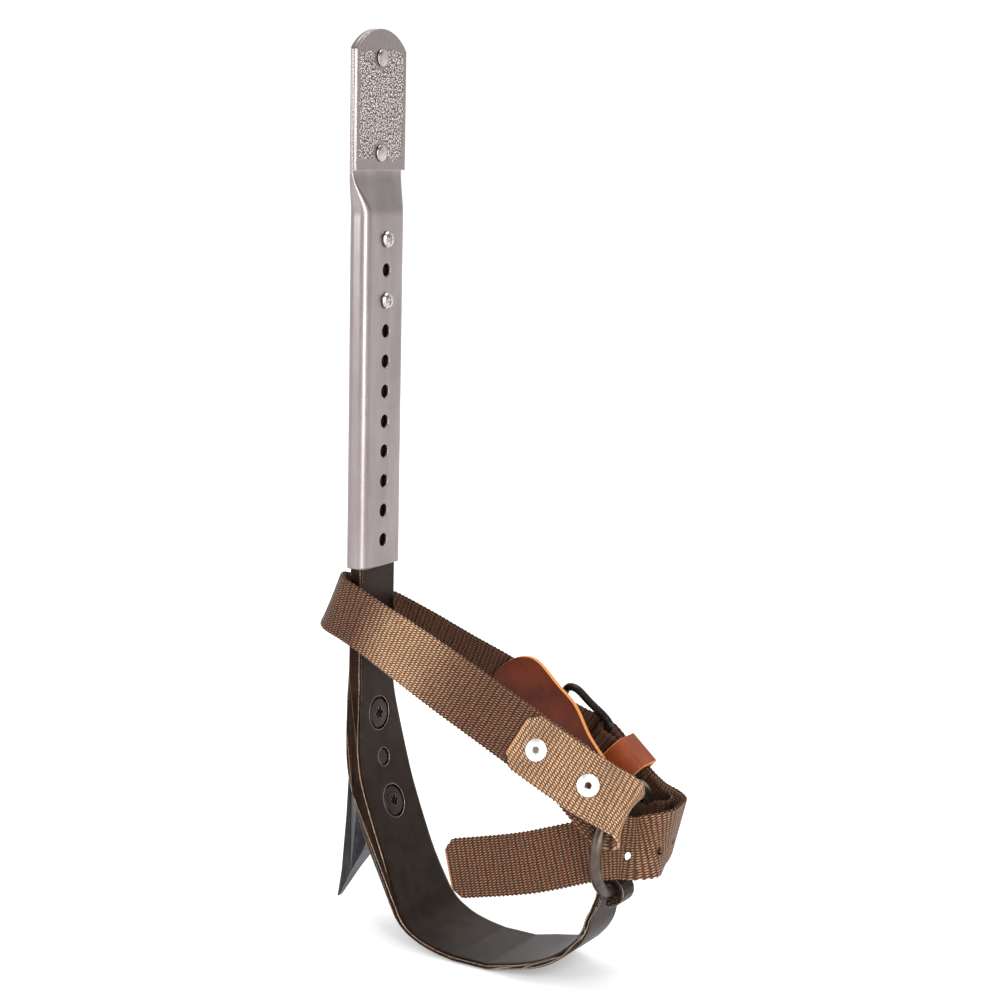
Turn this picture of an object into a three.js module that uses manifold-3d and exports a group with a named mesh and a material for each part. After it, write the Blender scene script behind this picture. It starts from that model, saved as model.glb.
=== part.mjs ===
// Tree climbing spur (left foot): forged shank and stirrup, height-adjusting sleeve,
// bolt-on gaff, ring, and webbing foot strap with its buckle, keeper and leather pad.
// Millimetres, +Z up. Origin: middle of the stirrup's instep seat. +X runs from the shank
// to the ring side, +Y runs along the boot.
import * as THREE from 'three';
import { mergeVertices } from 'three/addons/utils/BufferGeometryUtils.js';
import Module from 'manifold-3d';

const wasm = await Module();
wasm.setup();

// ---- driving dimensions ----
const GAP = 0.3;                 // clearance between pieces that touch

const FACE_X = -64.8;            // inner face of the straight shank
const SHANK_TOP = 302.5;
const SHANK_THICK = 5;
const LEG_THICK = 7.4;            // the leg is thicker there too
const SHANK_HALF_WIDTH = 12.7;
const LEG_HALF_WIDTH = 18.5;     // the leg widens where the gaff is bolted on
const SEAT_HALF_WIDTH = 21.5;
const SEAT_THICK = 2.8;
const UPRIGHT_HALF_WIDTH = 12;

const EYE = { x: 54.4, z: 36.4, radius: 6.1, halfWidth: 5 };

const HOLE_PITCH = 12.7;
const TOP_HOLE_Z = 294.7;
const HOLE_COUNT = 11;
const SCREWED_HOLES = [0, 2];    // counted from the top

const SLEEVE = {
  front: FACE_X + 2.1, depth: 10.2, halfWidth: 14.7, corner: 4, cornerSteps: 7,
  bottom: 156.6, flareStart: 304.5, flareEnd: 322, top: 380.3, wall: 1.45,
};
const CROWN = { halfWidth: 17.8, shoulder: 371.6, front: -67.8, thick: 2 };
const PLATE = { bottom: 322.9, thick: 1.2, rivets: [330, 368.6] };

const GAFF_SCREW_Z = [91.6, 53.9];
const GAFF_PIN_Z = 72.5;

const RING = { radius: 22.4, wire: 2.4, lean: 6 };
const WEB_WIDTH = 25.4;
const WEB_THICK = 2;
const PAD_THICK = 2.4;

// ---- finishes ----
const finish = (color, roughness, metalness) =>
  new THREE.MeshStandardMaterial({ color, roughness, metalness });
const forgedSteel = finish(0x4b403a, 0.5, 0.8);
const darkSteel = finish(0x3a3532, 0.45, 0.85);
const aluminium = finish(0xa9a19c, 0.4, 0.9);
const nickel = finish(0xd8d6d2, 0.25, 1);
const ringSteel = finish(0x8c8379, 0.35, 0.9);
const webbing = finish(0x84684f, 0.9, 0);
const leather = finish(0x8a5540, 0.6, 0);

// ---- helpers ----
function toSolid(geometry) {
  geometry.deleteAttribute('normal');
  geometry.deleteAttribute('uv');
  const merged = mergeVertices(geometry, 1e-4);
  return new wasm.Manifold(new wasm.Mesh({
    numProp: 3,
    vertProperties: new Float32Array(merged.attributes.position.array),
    triVerts: new Uint32Array(merged.index.array),
  }));
}

function toGeometry(solid) {
  const mesh = solid.getMesh();
  const geometry = new THREE.BufferGeometry();
  geometry.setAttribute('position', new THREE.BufferAttribute(mesh.vertProperties, 3));
  geometry.setIndex(new THREE.BufferAttribute(mesh.triVerts, 1));
  geometry.computeVertexNormals();
  return geometry;
}

const rad = THREE.MathUtils.degToRad;
const ramp = THREE.MathUtils.smoothstep;
const mix = THREE.MathUtils.lerp;

// An outline in the XZ plane, extruded along Y between -half and +half.
function extrudeAlongY(shape, half, bevel = 0) {
  return new THREE.ExtrudeGeometry(shape, {
    depth: 2 * (half - bevel), bevelEnabled: bevel > 0, bevelThickness: bevel,
    bevelSize: bevel, bevelOffset: -bevel, bevelSegments: 1, curveSegments: 10,
  }).translate(0, 0, bevel - half).rotateX(Math.PI / 2);
}

// An outline in the YZ plane, extruded along X from x0 to x1.
function extrudeAlongX(shape, x0, x1) {
  const turn = new THREE.Matrix4().makeBasis(
    new THREE.Vector3(0, 1, 0), new THREE.Vector3(0, 0, 1), new THREE.Vector3(1, 0, 0));
  return new THREE.ExtrudeGeometry(shape, { depth: x1 - x0, bevelEnabled: false, curveSegments: 16 })
    .applyMatrix4(turn).translate(x0, 0, 0);
}

function polygon(points) {
  return new THREE.Shape(points.map(([u, v]) => new THREE.Vector2(u, v)));
}

function roundedRect(halfU, halfV, r) {
  const shape = new THREE.Shape();
  shape.absarc(halfU - r, halfV - r, r, 0, Math.PI / 2);
  shape.absarc(r - halfU, halfV - r, r, Math.PI / 2, Math.PI);
  shape.absarc(r - halfU, r - halfV, r, Math.PI, 1.5 * Math.PI);
  shape.absarc(halfU - r, r - halfV, r, 1.5 * Math.PI, 2 * Math.PI);
  return shape;
}

// A solid of revolution about X, from [radius, distance along X] pairs.
function turned(profile, segments = 24) {
  const points = profile.map(([r, h]) => new THREE.Vector2(r, h));
  return new THREE.LatheGeometry(points, segments).rotateZ(-Math.PI / 2);
}

function rod(radius, x0, x1, segments = 24) {
  return turned([[0, x0], [radius, x0], [radius, x1], [0, x1]], segments);
}

function piece(name, source, material) {
  const geometry = source instanceof THREE.BufferGeometry ? source : toGeometry(source);
  const mesh = new THREE.Mesh(geometry, material);
  mesh.name = name;
  return mesh;
}

// ---- forged bar: straight shank, leg, instep seat, upright and curled eye ----
function facePath() {
  const path = new THREE.Path();
  path.moveTo(FACE_X, SHANK_TOP);
  path.lineTo(FACE_X, 112);
  path.splineThru([
    [-63.9, 96], [-60.6, 72], [-54.2, 51.5], [-41.4, 20], [-35.8, 9.8], [-28.6, 4.6],
    [-20, 1.7], [-10, 0],
  ].map(([x, z]) => new THREE.Vector2(x, z)));
  path.lineTo(6, 0);
  path.splineThru([
    [15, 2.1], [23.7, 4.2], [30.4, 6.4], [36, 9.4], [41.3, 14.4], [43.9, 17.9], [45.7, 21.6],
    [46.8, 26.5], [47.6, 31],
  ].map(([x, z]) => new THREE.Vector2(x, z)));
  path.absarc(EYE.x, EYE.z, EYE.radius, Math.PI, rad(-105), true);
  return path.getPoints(6).filter((p, i, all) => i === 0 || p.distanceTo(all[i - 1]) > 1e-3);
}

function barThickness(x, z) {
  if (x > 0) return mix(SEAT_THICK, 2.9, ramp(z, 8, 26));
  const leg = mix(LEG_THICK, SHANK_THICK, ramp(z, 100, 130));
  return mix(SEAT_THICK, leg, ramp(z, 3, 44));
}

function barHalfWidth(x, z) {
  if (x > 18) {
    const upright = mix(SEAT_HALF_WIDTH, UPRIGHT_HALF_WIDTH, ramp(z, 1.5, 13));
    return mix(upright, EYE.halfWidth, ramp(z, 24, 33));
  }
  const leg = mix(LEG_HALF_WIDTH, SHANK_HALF_WIDTH, ramp(z, 66, 110));
  return mix(SEAT_HALF_WIDTH, leg, ramp(z, 4, 34));
}

// The side of the bar away from the boot, one bar thickness behind each face point.
function backPoint(points, i) {
  const before = points[Math.max(i - 1, 0)];
  const after = points[Math.min(i + 1, points.length - 1)];
  const along = new THREE.Vector2().subVectors(after, before).normalize();
  const t = barThickness(points[i].x, points[i].y);
  return new THREE.Vector2(points[i].x + along.y * t, points[i].y - along.x * t);
}

function forgedBar() {
  const face = facePath();
  const back = face.map((p, i) => backPoint(face, i));
  const geometry = extrudeAlongY(new THREE.Shape([...face, ...back.reverse()]), 10, 0.7);
  const position = geometry.attributes.position;
  for (let i = 0; i < position.count; i += 1) {
    const half = barHalfWidth(position.getX(i), position.getZ(i));
    position.setY(i, position.getY(i) * half / 10);
  }
  return geometry;
}

// Where the leg's inner face is at a height, and how far it leans from upright.
function legAt(z) {
  const face = facePath();
  const i = face.findIndex((p) => p.y < z);
  const [high, low] = [face[i - 1], face[i]];
  const t = (high.y - z) / (high.y - low.y);
  return { x: mix(high.x, low.x, t), tilt: Math.atan2(low.x - high.x, high.y - low.y) };
}

// Places geometry made about the X axis at a point on the leg, square to its face.
function onLeg(geometry, z) {
  const { x, tilt } = legAt(z);
  return geometry.rotateY(-tilt).translate(x, 0, z);
}

const GAFF_SCREW = { head: 6.5, headDepth: 1.9, stem: 3.4, reach: -10.2, bore: 7.3, boreDepth: 2.2 };
const GAFF_PIN = { radius: 3.7, reach: -10 };

function shankStirrup() {
  let bar = toSolid(forgedBar());
  for (const z of GAFF_SCREW_Z) {
    const cut = turned([[0, -9], [GAFF_SCREW.stem + GAP, -9], [GAFF_SCREW.stem + GAP, -GAFF_SCREW.boreDepth],
      [GAFF_SCREW.bore, -GAFF_SCREW.boreDepth], [GAFF_SCREW.bore, 3], [0, 3]], 32);
    bar = bar.subtract(toSolid(onLeg(cut, z)));
  }
  bar = bar.subtract(toSolid(onLeg(rod(GAFF_PIN.radius + GAP, -9, 3), GAFF_PIN_Z)));
  for (const hole of SCREWED_HOLES) {
    const z = TOP_HOLE_Z - hole * HOLE_PITCH;
    bar = bar.subtract(toSolid(rod(2.8, -12, 12, 20).translate(FACE_X, 0, z)));
  }
  return bar;
}

// ---- gaff ----
function gaffBackLine(z, offset) {
  const { x, tilt } = legAt(z);
  const away = barThickness(x, z) + offset;
  return [x - away * Math.cos(tilt), z - away * Math.sin(tilt)];
}

// The gaff is broad where it lies on the leg and narrows to a ridge at its outer edge.
function gaffHalfWidth(isRidge, z) {
  const broad = mix(0.9, 9.5, THREE.MathUtils.clamp((z - 5) / 42, 0, 1));
  const ridge = mix(0.5, 3.6, ramp(z, 10, 60));
  return isRidge ? ridge : broad;
}

function gaff() {
  const outer = [[-72.6, 110], [-75, 92], [-76.2, 72], [-78.2, 44], [-81, 22], [-84.2, 4.6]];
  const inner = [[-82.8, 5.4], [-75, 18.5], [-67.2, 30], [-61.6, 40]];
  const against = [46, 55, 66, 78, 90, 104].map((z) => gaffBackLine(z, GAP + 0.25));
  const geometry = extrudeAlongY(polygon([...outer, ...inner, ...against]), 10);
  const position = geometry.attributes.position;
  for (let i = 0; i < position.count; i += 1) {
    const [x, z] = [position.getX(i), position.getZ(i)];
    const isRidge = outer.some(([u, v]) => Math.hypot(u - x, v - z) < 0.01);
    position.setY(i, position.getY(i) * gaffHalfWidth(isRidge, z) / 10);
  }
  let solid = toSolid(geometry);
  for (const z of GAFF_SCREW_Z) {
    solid = solid.subtract(toSolid(onLeg(rod(GAFF_SCREW.stem + GAP + 0.05, GAFF_SCREW.reach - 0.6, 0), z)));
  }
  return solid.subtract(toSolid(onLeg(rod(GAFF_PIN.radius + GAP, GAFF_PIN.reach - GAP, 0), GAFF_PIN_Z)));
}

// A five-lobed socket is cut into the head of each gaff screw.
function gaffScrew(z) {
  const { head, headDepth, stem, reach } = GAFF_SCREW;
  const body = turned([[0, reach], [stem, reach], [stem, -headDepth], [head - 0.6, -headDepth],
    [head, -headDepth + 0.5], [head, -0.6], [head - 0.6, -0.1], [0, 0.2]], 32);
  const socket = new THREE.Shape();
  for (let i = 0; i <= 30; i += 1) {
    const r = 2.5 + 0.6 * Math.cos(6 * i * Math.PI / 15);
    const [u, v] = [r * Math.cos(i * Math.PI / 15), r * Math.sin(i * Math.PI / 15)];
    if (i === 0) socket.moveTo(u, v); else if (i < 30) socket.lineTo(u, v);
  }
  const solid = toSolid(body).subtract(toSolid(extrudeAlongX(socket, -1.5, 2)));
  return onLeg(toGeometry(solid), z);
}

function gaffPin() {
  const r = GAFF_PIN.radius;
  return onLeg(turned([[0, GAFF_PIN.reach], [r, GAFF_PIN.reach], [r, -1.1], [r - 0.5, -0.6], [0, -0.6]]),
    GAFF_PIN_Z);
}

// ---- sleeve ----
function crownOutline(bottom) {
  const shape = new THREE.Shape();
  const { halfWidth, shoulder } = CROWN;
  const rise = SLEEVE.top - shoulder;
  const radius = (halfWidth ** 2 + rise ** 2) / (2 * rise);
  const sweep = Math.asin(halfWidth / radius);
  shape.moveTo(-halfWidth, bottom);
  shape.lineTo(halfWidth, bottom);
  shape.absarc(0, SLEEVE.top - radius, radius, Math.PI / 2 - sweep, Math.PI / 2 + sweep);
  return shape;
}

// Joins level sections of equal point counts, lowest first, into one closed body.
function lofted(sections) {
  const count = sections[0].length;
  const top = count * (sections.length - 1);
  const index = [];
  for (let a = 0; a < top; a += 1) {
    const b = a % count === count - 1 ? a + 1 - count : a + 1;
    index.push(a, b, b + count, a, b + count, a + count);
  }
  for (let i = 1; i < count - 1; i += 1) index.push(0, i + 1, i, top, top + i, top + i + 1);
  const geometry = new THREE.BufferGeometry().setFromPoints(sections.flat());
  return geometry.setIndex(index);
}

// The tube pressed flat by a share of 0 to 1, as a level section at a height.
function pressedSection(share, z) {
  const { front, depth, halfWidth, corner, cornerSteps } = SLEEVE;
  const half = mix(depth / 2, CROWN.thick / 2, share);
  const middle = mix(front - depth / 2, CROWN.front - CROWN.thick / 2, share);
  const outline = roundedRect(half, mix(halfWidth, CROWN.halfWidth, share), mix(corner, 0.8, share));
  const apart = (p, i, all) => i === 0 || p.distanceTo(all[i - 1]) > 1e-4;
  const points = outline.getPoints(cornerSteps).filter(apart);
  if (points[0].distanceTo(points.at(-1)) < 1e-4) points.pop();
  return points.map((p) => new THREE.Vector3(middle + p.x, p.y, z));
}

function sleeveCrown() {
  const { flareStart, flareEnd, top } = SLEEVE;
  const sections = [pressedSection(0, flareStart - 1)];
  for (let z = flareStart; z <= flareEnd; z += 1.25) {
    sections.push(pressedSection(ramp(z, flareStart, flareEnd), z));
  }
  sections.push(pressedSection(1, top + 1));
  const outline = extrudeAlongX(crownOutline(flareStart - 2), -80, -60);
  return toSolid(lofted(sections)).intersect(toSolid(outline));
}

function sleeve() {
  const { front, depth, halfWidth, corner, cornerSteps, bottom, flareStart, wall } = SLEEVE;
  const middle = front - depth / 2;
  const tube = new THREE.ExtrudeGeometry(roundedRect(depth / 2, halfWidth, corner),
    { depth: flareStart - bottom, bevelEnabled: false, curveSegments: cornerSteps });
  tube.translate(middle, 0, bottom);
  const bore = new THREE.ExtrudeGeometry(roundedRect(depth / 2 - wall, halfWidth - wall, 1.2),
    { depth: flareStart - bottom + 1, bevelEnabled: false, curveSegments: 4 });
  bore.translate(middle, 0, bottom - 2);
  let solid = toSolid(tube).add(sleeveCrown()).subtract(toSolid(bore));
  for (let hole = 0; hole < HOLE_COUNT; hole += 1) {
    const cut = rod(2.9, front - 2.5, front + 2, 20).translate(0, 0, TOP_HOLE_Z - hole * HOLE_PITCH);
    solid = solid.subtract(toSolid(cut));
  }
  for (const z of PLATE.rivets) {
    solid = solid.subtract(toSolid(rod(2.35, -76, -60, 20).translate(0, 0, z)));
  }
  return solid;
}

function sizePlate() {
  const { front } = CROWN;
  let solid = toSolid(extrudeAlongX(crownOutline(PLATE.bottom), front + GAP, front + GAP + PLATE.thick));
  for (const z of PLATE.rivets) {
    solid = solid.subtract(toSolid(rod(2.35, front - 2, front + 4, 20).translate(0, 0, z)));
  }
  return solid;
}

function plateRivet(z) {
  const face = CROWN.front + GAP + PLATE.thick;
  const back = CROWN.front - CROWN.thick - GAP;
  return turned([[0, back - 1], [3, back - 1], [3.3, back - 0.5], [3.3, back], [2, back], [2, face + GAP],
    [3.6, face + GAP], [3.4, face + 0.7], [2.2, face + 1.1], [0, face + 1.25]]).translate(0, 0, z);
}

// A height screw's head lies on the sleeve; its stem fills the tapped hole in the shank.
function screwHead(z) {
  const seat = SLEEVE.front + GAP;
  const head = turned([[0, seat], [3.4, seat], [3.5, seat + 0.5], [2.9, seat + 1.3], [1.6, seat + 1.8],
    [0, seat + 1.9]]);
  let solid = toSolid(head);
  for (const [halfY, halfZ] of [[0.45, 1.8], [1.8, 0.45]]) {
    const slot = new THREE.BoxGeometry(3, 2 * halfY, 2 * halfZ).translate(seat + 2.5, 0, 0);
    solid = solid.subtract(toSolid(slot));
  }
  return toGeometry(solid).translate(0, 0, z);
}

function screwStem(z) {
  return rod(2.5, FACE_X - SHANK_THICK, FACE_X - 0.2, 20).translate(0, 0, z);
}

// ---- ring ----
function ring() {
  return new THREE.TorusGeometry(RING.radius, RING.wire, 14, 56)
    .rotateY(Math.PI / 2).translate(0, 0, RING.radius).rotateY(rad(RING.lean))
    .translate(EYE.x, 0, EYE.z - 0.3);
}

// ---- flat webbing and leather, bent along a route ----
// Each route point is [x, y, z] with the band's width direction [wx, wy, wz].
function bandRoute(route) {
  const centre = new THREE.CatmullRomCurve3(route.map(([p]) => new THREE.Vector3(...p)));
  const across = new THREE.CatmullRomCurve3(route.map(([, w]) => new THREE.Vector3(...w).normalize()));
  const curls = new THREE.SplineCurve(route.map(([, , curl = 0], i) => new THREE.Vector2(i, curl)));
  return (t) => {
    const ahead = centre.getPoint(Math.min(t + 0.004, 1));
    const tangent = ahead.sub(centre.getPoint(Math.max(t - 0.004, 0))).normalize();
    const side = across.getPoint(t);
    side.addScaledVector(tangent, -side.dot(tangent)).normalize();
    const normal = new THREE.Vector3().crossVectors(tangent, side);
    return { point: centre.getPoint(t), side, normal, curl: curls.getPoint(t).y };
  };
}

function bentBand(route, { width = WEB_WIDTH, thick = WEB_THICK, steps = 24, strips = 1 } = {}) {
  const at = bandRoute(route);
  const geometry = new THREE.BoxGeometry(width, thick, 1, strips, 1, steps);
  const position = geometry.attributes.position;
  for (let i = 0; i < position.count; i += 1) {
    const u = position.getX(i);
    const { point, side, normal, curl } = at(THREE.MathUtils.clamp(position.getZ(i) + 0.5, 0, 1));
    const lift = position.getY(i) + curl * (2 * u / width) ** 2;
    point.addScaledVector(side, u).addScaledVector(normal, lift);
    position.setXYZ(i, point.x, point.y, point.z);
  }
  return geometry;
}

// Webbing with a slot cut out of it, its middle at a local point of the buckle.
function slotted(geometry, from, to, halfWidth) {
  const slot = new THREE.BoxGeometry(24, 2 * halfWidth, to - from).translate(6, 0, (from + to) / 2);
  return toSolid(geometry).subtract(toSolid(slot.applyMatrix4(BUCKLE_FRAME)));
}

const SLOPE = [0.41, 0, 0.91];        // width direction of the band round the shank
const NEAR_SLOPE = [0.38, 0.28, 0.88]; // the near run lies back a little
const FAR_SLOPE = [0.31, 0, 0.95];    // the far run hangs a little flatter
const LEAN = [0.545, 0, 0.839];       // width direction at the buckle
const FOLD = [0.16, 0.6, 0.78];       // width direction where it folds round the ring
const RING_SIDE = [0.08, 0.76, 0.64];  // along the ring's wire, on the inside of the fold
const DOWN = [0.66, 0, 0.75];          // width direction from the buckle to the ring

const NEAR_RUN = [
  [[40.4, -19.2, 89.3], [0.38, 0.32, 0.87]], [[28, -19.4, 95.2], [0.38, 0.32, 0.87]],
  [[8, -19.5, 104.6], NEAR_SLOPE], [[-16, -19.1, 115.6], NEAR_SLOPE],
  [[-40, -18.4, 126.4], [0.39, 0.12, 0.91]], [[-55, -18.2, 133], SLOPE],
];
const WRAP = [
  [[-56.3, -18.2, 133.6], SLOPE], [[-66, -17.8, 137.6], SLOPE], [[-76.5, -14.6, 140.4], SLOPE],
  [[-83, -7, 140.6], SLOPE], [[-84, 2.5, 138.2], SLOPE], [[-79.4, 11.6, 133.6], [0.36, 0, 0.93]],
  [[-69.4, 17.2, 128.8], FAR_SLOPE], [[-56, 18.8, 123.8], FAR_SLOPE],
];
const FAR_RUN = [
  [[-55, 18.9, 123.4], FAR_SLOPE], [[-34, 20.2, 115.2], FAR_SLOPE], [[-15, 21.2, 108.2], FAR_SLOPE],
  [[-2, 20.6, 103.2], [0.38, 0, 0.92]], [[8.1, 19.3, 97.6], LEAN], [[17.8, 22.6, 92], LEAN],
];
const FREE_END = [
  [[18.2, 24.2, 91.7], LEAN], [[27.6, 30.4, 85.8], LEAN], [[33, 30.1, 81.5], DOWN],
  [[38.4, 29.4, 76.9], DOWN], [[46, 29.2, 69.9], DOWN], [[55, 29.2, 63.8], [0.5, 0, 0.87]],
  [[63.4, 28.4, 61], [0.33, 0, 0.94]], [[69.2, 24.2, 60], [0.26, 0, 0.96]],
  [[71.8, 16.4, 59.8], [0.2, 0, 0.98]], [[73, 8, 59.4], [0.15, 0.1, 0.98]],
  [[71, -0.5, 58.4], [-0.05, 0.3, 0.95]], [[66, -4.6, 57.2], [-0.25, 0.42, 0.87]],
  [[58, -5.8, 56.3], [-0.25, 0.36, 0.9]], [[46, -8, 53.2], [-0.22, 0.32, 0.92]],
  [[20, -14, 44.6], [-0.2, 0.1, 0.97]], [[-14, -19.5, 36.7], [-0.1, 0, 1]],
];
// The third entry is how far the band's edges curl, hugging the ring's wire.
const RING_FOLD = [
  [[19.2, -22.5, 100.4], [0.38, 0.32, 0.87], 0], [[30, -22.5, 95.3], [0.38, 0.32, 0.87], 0],
  [[43, -22.2, 89.2], [0.38, 0.33, 0.87], 0], [[51.4, -21.6, 85.4], [0.31, 0.4, 0.86], -0.4],
  [[58, -19.2, 82.2], FOLD, -2.4], [[62.6, -17.2, 79.6], FOLD, -1.8],
  [[65.4, -14.2, 76], FOLD, 0], [[63.2, -11.2, 72.2], RING_SIDE, 3],
  [[58.4, -10.8, 70.6], RING_SIDE, 5], [[54, -13, 74.2], RING_SIDE, 4],
  [[50.4, -17.2, 80.8], [0.26, 0.5, 0.83], 1.4], [[43.4, -19.3, 87.8], [0.38, 0.32, 0.87], 0],
];
const BUCKLE_STRAP = [
  [[38.8, 24.4, 76.5], DOWN, 0], [[45.2, 23.9, 70.6], DOWN, 0], [[49, 21.2, 66.8], [0.45, -0.05, 0.88], 2.6],
  [[53.2, 18, 62.8], [0.2, -0.2, 0.96], 5], [[59, 17.2, 59.8], [0.12, -0.16, 0.98], 5],
  [[63, 17.8, 59.2], [0.18, 0, 0.98], 2], [[65, 20, 59.4], [0.2, 0, 0.98], 0.4],
  [[64.8, 23, 60.2], [0.2, 0, 0.98], -0.4], [[61.6, 25.9, 61], [0.22, 0, 0.98], -1.6],
  [[57.4, 26.5, 62.6], [0.27, -0.06, 0.96], -1.6], [[51.6, 26.6, 66], [0.48, 0, 0.88], -1],
  [[45.2, 26.6, 70.7], DOWN, 0], [[38.8, 26.8, 76.6], DOWN, 0], [[32.6, 27.6, 81.8], [0.6, 0, 0.8], 0],
  [[28.5, 28, 84.8], LEAN, 0], [[25.4, 24.5, 86.8], LEAN, 0], [[28.5, 21.1, 84.8], LEAN, 0],
  [[33, 23.2, 81.5], [0.6, 0, 0.8], 0], [[38.2, 24.3, 77.1], DOWN, 0],
];
const PAD = [
  [-18, 104], [-13.7, 112.5], [-7.4, 118.8], [-0.9, 122.3], [7.1, 122.6], [19.8, 112.9], [27.8, 106.5],
  [35.1, 95], [40.6, 88.7], [48.7, 80.5], [54.5, 68.7], [54.9, 58], [50, 52.5], [42, 52],
  [32, 58.5], [20, 68.5], [4, 81], [-11, 92.5],
];

function leatherPad() {
  const corners = PAD.map(([x, z]) => new THREE.Vector2(x, z));
  const outline = new THREE.Shape(new THREE.SplineCurve([...corners, corners[0]]).getPoints(54));
  return extrudeAlongY(outline, PAD_THICK / 2).rotateZ(rad(-5.5)).translate(-2, 16, 0);
}

// A flat side towards +u and an arched side towards -u, half as wide each way along v.
function archedSection(flat, spring, arch, half) {
  const shape = new THREE.Shape();
  shape.moveTo(flat, 2 - half);
  shape.lineTo(flat, half - 2);
  shape.quadraticCurveTo(flat, half, flat - 2, half);
  shape.lineTo(spring, half);
  shape.bezierCurveTo(spring - 2.2, half, arch, 0.62 * half, arch, 0);
  shape.bezierCurveTo(arch, -0.62 * half, spring - 2.2, -half, spring, -half);
  shape.lineTo(flat - 2, -half);
  shape.quadraticCurveTo(flat, -half, flat, 2 - half);
  return shape;
}

// A leather loop round the straps, loose and arched on the side towards the boot.
function keeper() {
  const outer = archedSection(6.9, -5.6, -10.3, 15.4);
  outer.holes.push(archedSection(5.2, -5.6, -8.6, 13.7));
  return new THREE.ExtrudeGeometry(outer, { depth: 15.5, bevelEnabled: false, curveSegments: 8 })
    .translate(0, 0, -7.75);
}

// Local frame on the far side of the strap: u away from the boot, v across the strap,
// w along the strap towards the ring.
function farSide(point, lean, turn = 0) {
  const along = new THREE.Vector3(Math.cos(rad(lean)), Math.sin(rad(turn)), -Math.sin(rad(lean))).normalize();
  const out = new THREE.Vector3(0, 1, 0).addScaledVector(along, -along.y).normalize();
  const across = new THREE.Vector3().crossVectors(along, out);
  return new THREE.Matrix4().makeBasis(out, across, along).setPosition(...point);
}

// ---- buckle: frame with a heel bar, tongue on the heel bar, roller on the far bar ----
const BUCKLE = { rollerHalf: 16.8, heelHalf: 15.5, halfLength: 12, wire: 1.7, bar: 1.6 };
const BUCKLE_FRAME = farSide([18.3, 24, 91.4], 33, 2.4);

function barAcross(radius, halfLength, along) {
  return new THREE.CylinderGeometry(radius, radius, 2 * halfLength, 16).translate(0, 0, along);
}

function buckleFrame() {
  const { rollerHalf, heelHalf, halfLength, wire, bar } = BUCKLE;
  const rail = (sign) => new THREE.CatmullRomCurve3([
    [12, halfLength], [heelHalf - 1.2, halfLength], [heelHalf, halfLength - 3],
    [(heelHalf + rollerHalf) / 2, 0], [rollerHalf, 3 - halfLength], [rollerHalf - 2, -halfLength],
    [12, -halfLength]].map(([v, w]) => new THREE.Vector3(0, sign * v, w)));
  const section = new THREE.Shape().absarc(0, 0, wire, 0, 2 * Math.PI);
  const rim = (sign) => toSolid(new THREE.ExtrudeGeometry(section,
    { steps: 28, extrudePath: rail(sign), curveSegments: 5 }));
  let solid = rim(1).add(rim(-1));
  solid = solid.add(toSolid(barAcross(bar, 13, halfLength)));
  return solid.add(toSolid(barAcross(bar, 13, -halfLength)));
}

function buckleRoller() {
  return turned([[BUCKLE.bar + 0.3, -10.5], [2.7, -10.5], [2.7, 10.5], [BUCKLE.bar + 0.3, 10.5],
    [BUCKLE.bar + 0.3, -10.5]], 20).rotateZ(Math.PI / 2).translate(0, 0, -BUCKLE.halfLength);
}

function buckleTongue() {
  const { halfLength, bar } = BUCKLE;
  const reach = [[3.4, halfLength - 3.6], [4.5, 3], [4.6, -halfLength + 3], [4.3, -halfLength - 3.4]];
  const route = new THREE.CatmullRomCurve3(reach.map(([u, w]) => new THREE.Vector3(u, 0, w)));
  const section = new THREE.Shape().absarc(0, 0, 1.3, 0, 2 * Math.PI);
  const prong = new THREE.ExtrudeGeometry(section, { steps: 12, extrudePath: route, curveSegments: 4 });
  const collar = new THREE.Shape().absarc(0, 0, bar + 2.1, 0, 2 * Math.PI);
  collar.holes.push(new THREE.Path().absarc(0, 0, bar + 0.3, 0, 2 * Math.PI));
  const loop = new THREE.ExtrudeGeometry(collar, { depth: 4.4, bevelEnabled: false, curveSegments: 10 })
    .translate(0, 0, -2.2).rotateX(Math.PI / 2).translate(0, 0, halfLength);
  const root = new THREE.BoxGeometry(1.8, 2.4, 5).rotateY(rad(-28)).translate(3.2, 0, halfLength - 3.4);
  return toSolid(loop).add(toSolid(prong)).add(toSolid(root));
}

// ---- eyelet rivets through the two layers of webbing ----
// at: how far round the ring fold's route; back: depth below its middle to the rivet's far end.
const EYELETS = {
  fold_eyelet_left: { at: 0.88 / 11, back: 4.6 },
  fold_eyelet_right: { at: 3.08 / 11, back: 5.6 },
};

// Places geometry made about the X axis on the ring fold, square to its outer face.
function onFold(geometry, at) {
  const { point, normal } = bandRoute(RING_FOLD)(at);
  const turn = new THREE.Quaternion().setFromUnitVectors(new THREE.Vector3(1, 0, 0), normal);
  return geometry.applyQuaternion(turn).translate(point.x, point.y, point.z);
}

function eyelet({ at, back }) {
  const face = WEB_THICK / 2 + GAP;
  return onFold(turned([
    [1.4, -back - 0.9], [3.4, -back - 0.9], [4.2, -back - 0.3], [4.2, -back], [1.9, -back], [1.9, face],
    [4.6, face], [4.6, face + 0.3], [3.4, face + 0.9], [1.9, face + 1], [1.4, face + 0.6],
    [1.4, -back - 0.9]]), at);
}

// Webbing with the eyelets' holes, and room under each rivet's far end.
function holed(geometry) {
  let solid = toSolid(geometry);
  for (const { at, back } of Object.values(EYELETS)) {
    const hole = turned([[0, -back - 1.4], [4.6, -back - 1.4], [4.6, -back + 0.3], [2.3, -back + 0.3],
      [2.3, 3], [0, 3]], 20);
    solid = solid.subtract(toSolid(onFold(hole, at)));
  }
  return solid;
}

// ---- assembly ----
const climber = new THREE.Group();

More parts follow.
